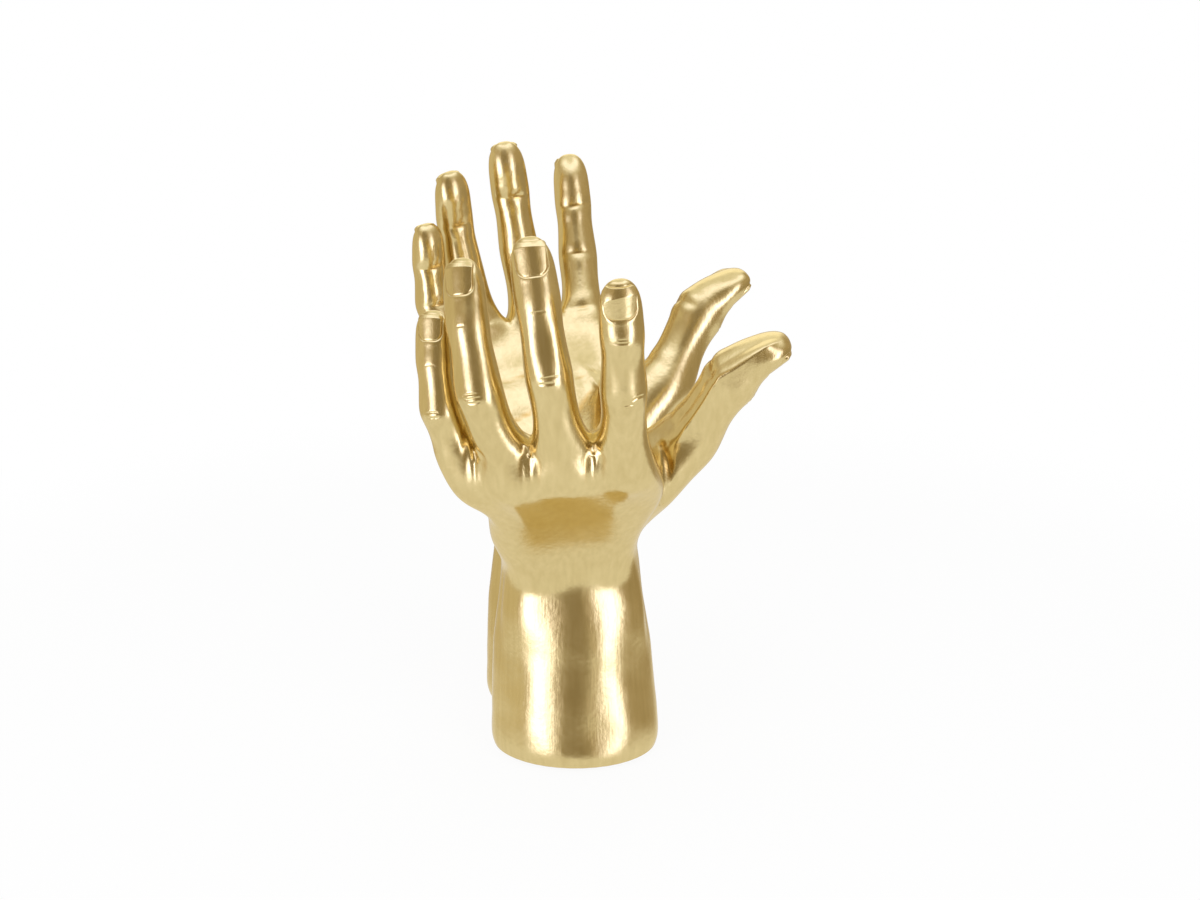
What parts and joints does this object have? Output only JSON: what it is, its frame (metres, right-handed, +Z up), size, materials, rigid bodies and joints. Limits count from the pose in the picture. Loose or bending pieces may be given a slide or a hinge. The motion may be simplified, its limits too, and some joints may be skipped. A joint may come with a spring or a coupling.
{
  "type": "hand sculpture",
  "caption": "Open cupped hands rising from bonded forearms: a gold-painted cast resin ornament that stands on felt pads and can cradle small things.",
  "frame": {"origin": "under the middle of the bounding box, on the surface that the felt pads stand on", "axes": "+Z up, +X towards the thumbs, -Y towards the left hand and +Y towards the right hand"},
  "size_m": [0.1544, 0.2556, 0.2488],
  "materials": {
    "gold_paint": "satin",
    "dowel_steel": "satin",
    "plug_resin": "matte",
    "felt": "matte"
  },
  "bodies": {
    "root": {"left_hand": "gold_paint", "right_hand": "gold_paint", "lower_dowel": "dowel_steel", "upper_dowel": "dowel_steel", "left_base_plug": "plug_resin", "right_base_plug": "plug_resin", "left_felt_pad": "felt", "right_felt_pad": "felt"}
  },
  "joints": []
}
